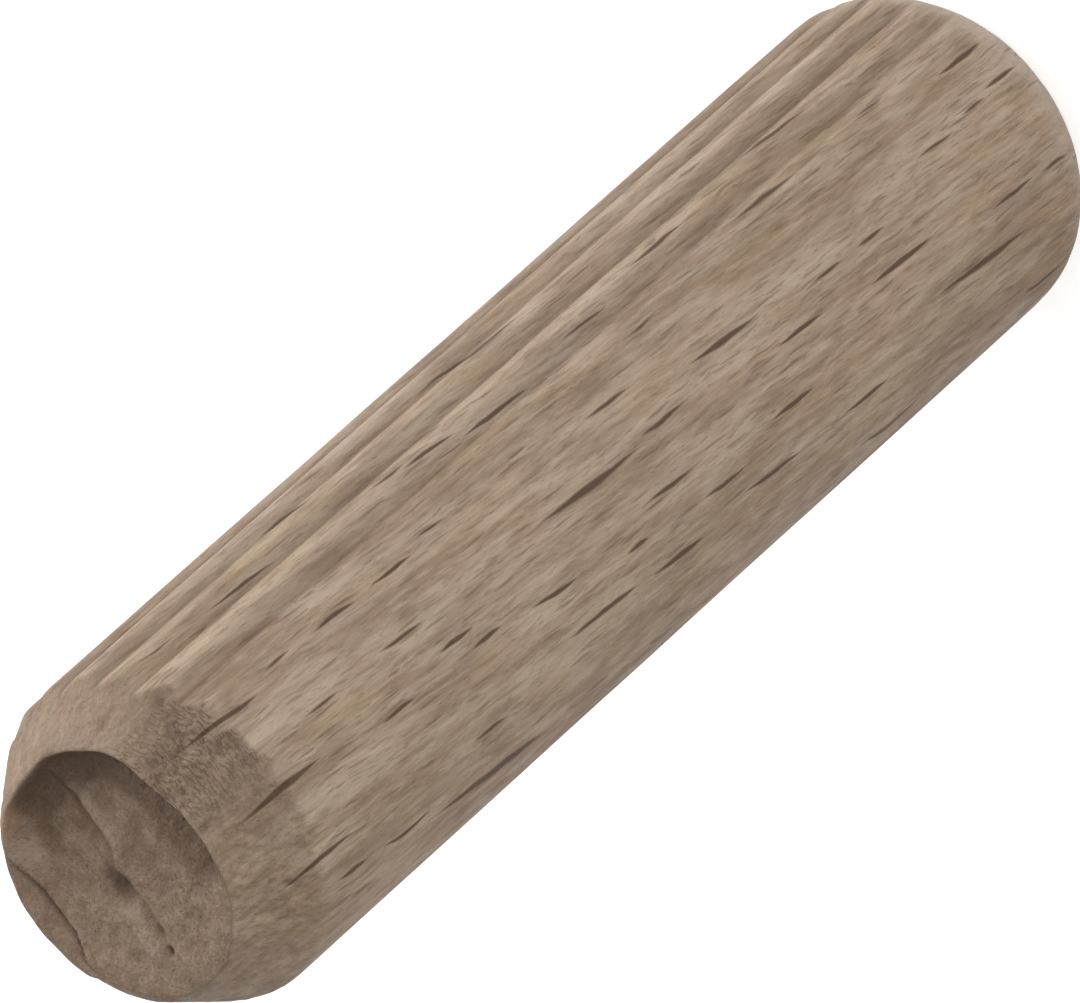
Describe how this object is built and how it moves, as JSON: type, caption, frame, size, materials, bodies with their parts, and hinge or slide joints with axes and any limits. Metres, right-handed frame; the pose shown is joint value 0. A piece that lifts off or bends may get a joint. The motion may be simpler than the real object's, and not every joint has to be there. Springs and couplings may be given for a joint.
{
  "type": "dowel pin",
  "caption": "Round hardwood dowel pin with straight pressed flutes along one side, one plain bevelled end and one torn, dished end.",
  "frame": {"origin": "middle of the plain end, which is also the bottom centre of the pin's box", "axes": "+Z along the pin's axis, from the plain end up to the torn end; the flutes are on the +X side"},
  "size_m": [0.01, 0.01, 0.04],
  "materials": {
    "beech": "satin"
  },
  "bodies": {
    "root": {"dowel_pin": "beech"}
  },
  "joints": []
}
